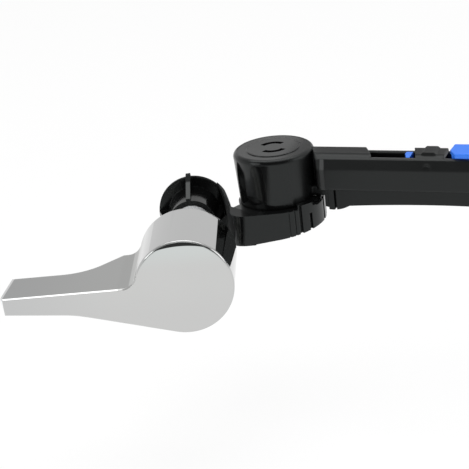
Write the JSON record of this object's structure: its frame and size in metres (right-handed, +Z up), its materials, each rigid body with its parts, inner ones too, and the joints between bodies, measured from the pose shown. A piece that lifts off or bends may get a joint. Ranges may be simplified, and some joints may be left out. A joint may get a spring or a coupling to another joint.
{
  "type": "cistern lever",
  "caption": "Push-down cistern lever: a round hub with a flat paddle turns a spindle, a crank and a swivelling lift arm with a sliding extension bar and a thumb latch.",
  "frame": {"origin": "on the spindle axis, at the cistern's outer wall face where the gasket sits", "axes": "+Y along the spindle into the cistern, +X towards the lift arm, +Z up"},
  "size_m": [0.2089, 0.0839, 0.0421],
  "materials": {
    "handle_chrome": "polished",
    "spindle_brass": "satin",
    "bush_grey": "satin",
    "gasket_rubber": "matte",
    "washer_white": "satin",
    "nut_white": "satin",
    "black_gloss": "gloss",
    "fastener_steel": "satin",
    "bar_black": "satin",
    "latch_blue": "gloss"
  },
  "bodies": {
    "wall_fixing": {"threaded_bush": "bush_grey", "wall_gasket": "gasket_rubber"},
    "clamp_washer": {"nut_washer": "washer_white"},
    "clamp_nut": {"back_nut": "nut_white"},
    "lever": {"lever_handle": "handle_chrome", "spindle": "spindle_brass", "thrust_washer": "bush_grey", "crank_link": "black_gloss", "crank_washer": "fastener_steel", "crank_screw": "fastener_steel"},
    "arm": {"lift_arm": "black_gloss", "arm_cover": "black_gloss", "cover_screw": "fastener_steel", "latch_spring": "fastener_steel"},
    "latch": {"length_latch": "latch_blue"},
    "extension": {"extension_bar": "bar_black"}
  },
  "joints": [
    {"name": "lever_turn", "type": "hinge", "parent": "wall_fixing", "child": "lever", "pos_m": [0, 0, 0], "axis": [0, -1, 0], "range_deg": [0, 40]},
    {"name": "washer_slide", "type": "slide", "parent": "wall_fixing", "child": "clamp_washer", "axis": [0, 1, 0], "range_m": [-0.0016, 0.0021]},
    {"name": "nut_spin", "type": "hinge", "parent": "clamp_washer", "child": "clamp_nut", "pos_m": [0, 0.0095, 0], "axis": [0, 1, 0], "range_deg": [-270, 360]},
    {"name": "arm_swivel", "type": "hinge", "parent": "lever", "child": "arm", "pos_m": [0.032, 0.032, 0], "axis": [0, 0, 1], "range_deg": [0, 105]},
    {"name": "latch_press", "type": "hinge", "parent": "arm", "child": "latch", "pos_m": [0.08718, 0.01481, 0.0195], "axis": [0.2974, 0.9548, 0], "range_deg": [0, 3], "stiffness_Nm_per_rad": 0.5, "deforming": ["latch_spring"]},
    {"name": "bar_slide", "type": "slide", "parent": "arm", "child": "extension", "axis": [0.9548, -0.2974, 0], "range_m": [0, 0.045]}
  ],
  "couplings": [
    {"joint": "washer_slide", "follows": "nut_spin", "m_per_rad": 0.00031831}
  ]
}
